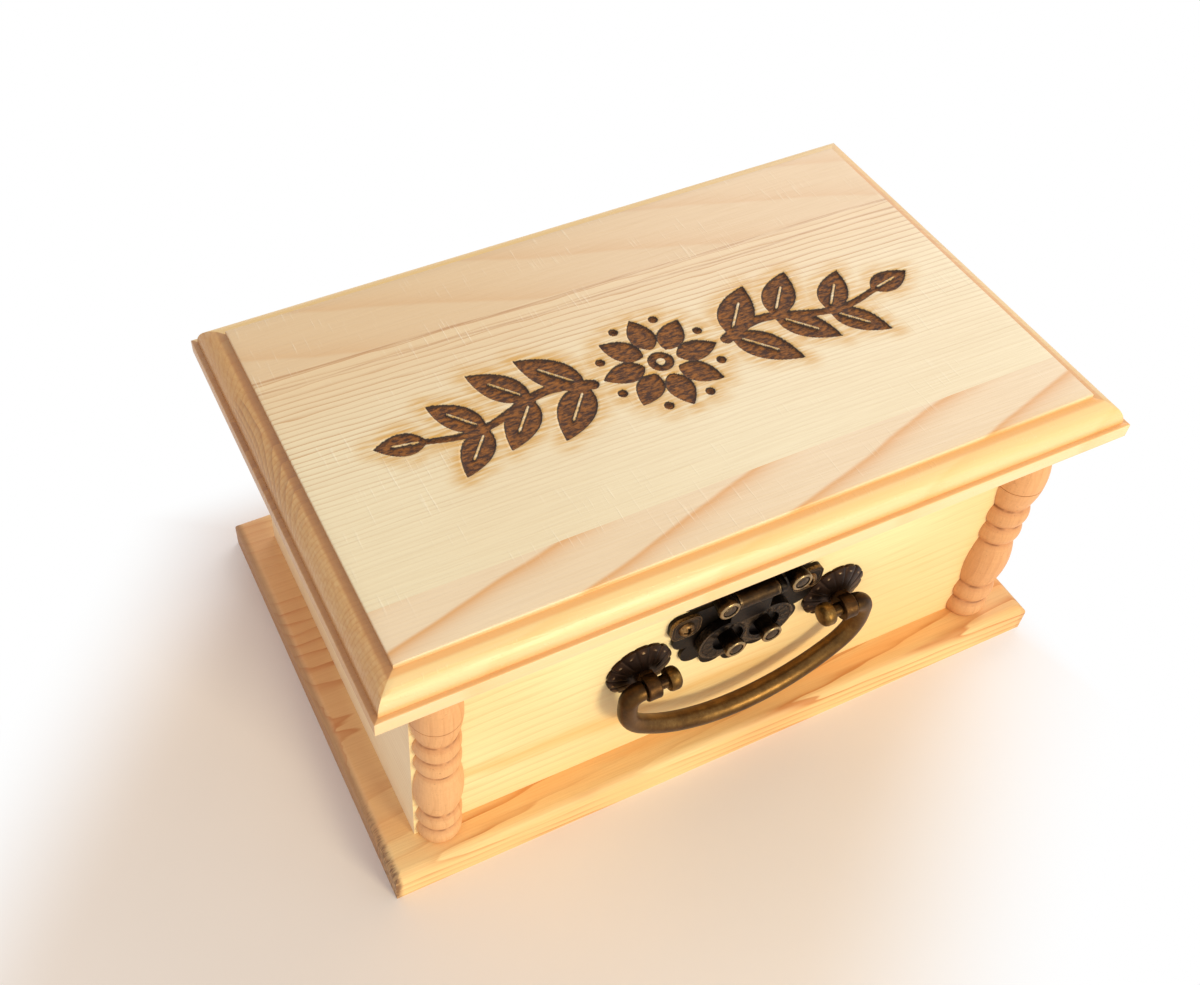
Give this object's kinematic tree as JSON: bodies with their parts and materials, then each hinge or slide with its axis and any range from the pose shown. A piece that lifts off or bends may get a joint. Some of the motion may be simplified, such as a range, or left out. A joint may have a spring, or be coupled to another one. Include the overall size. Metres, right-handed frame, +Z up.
{
  "type": "wooden keepsake box",
  "caption": "Rectangular pine box with a hinged moulded lid, turned corner strips, a wider base board, a bail handle on rosettes and a hinged latch at the front.",
  "frame": {"origin": "middle of the base board's underside", "axes": "+X to the right along the front, the front looks to -Y, +Z up"},
  "size_m": [0.23, 0.1438, 0.107],
  "materials": {
    "pine": "clear satin varnish on pine",
    "turned_pine": "clear varnish on turned pine",
    "dark_bronze": "dark antique bronze plating",
    "worn_brass": "antique brass, worn bright on its edges",
    "hinge_brass": "dark antique brass",
    "steel": "plain zinc-plated steel"
  },
  "bodies": {
    "box_body": {"base_board": "pine", "front_panel": "pine", "back_panel": "pine", "left_panel": "pine", "right_panel": "pine", "left_strip": "turned_pine", "right_strip": "turned_pine", "left_rosette": "dark_bronze", "right_rosette": "dark_bronze", "left_eye_post": "dark_bronze", "right_eye_post": "dark_bronze", "post_washers": "steel", "post_nuts": "steel", "latch_box_plate": "dark_bronze", "latch_box_ears": "dark_bronze", "latch_box_screws": "worn_brass", "left_hinge_box_leaf": "hinge_brass", "right_hinge_box_leaf": "hinge_brass", "left_hinge_pin": "hinge_brass", "right_hinge_pin": "hinge_brass", "hinge_box_screws": "hinge_brass"},
    "lid": {"lid_board": "pine", "lid_front_rail": "pine", "lid_back_rail": "pine", "lid_left_rail": "pine", "lid_right_rail": "pine", "left_strip_top": "turned_pine", "right_strip_top": "turned_pine", "latch_lid_plate": "dark_bronze", "latch_lid_screws": "worn_brass", "latch_lid_studs": "worn_brass", "hasp_pin": "dark_bronze", "left_hinge_lid_leaf": "hinge_brass", "right_hinge_lid_leaf": "hinge_brass", "hinge_lid_screws": "hinge_brass"},
    "hasp": {"hasp_leaf": "dark_bronze", "hasp_studs": "worn_brass"},
    "bail": {"bail_handle": "dark_bronze", "bail_knobs": "worn_brass"}
  },
  "joints": [
    {"name": "lid_hinge", "type": "hinge", "parent": "box_body", "child": "lid", "pos_m": [0, 0.0628, 0.07415], "axis": [-1, 0, 0], "range_deg": [0, 105]},
    {"name": "hasp_swing", "type": "hinge", "parent": "lid", "child": "hasp", "pos_m": [0, -0.0645, 0.0757], "axis": [-1, 0, 0], "range_deg": [0, 85]},
    {"name": "bail_swing", "type": "hinge", "parent": "box_body", "child": "bail", "pos_m": [0, -0.0677, 0.0545], "axis": [-1, 0, 0], "range_deg": [-5, 90]}
  ]
}
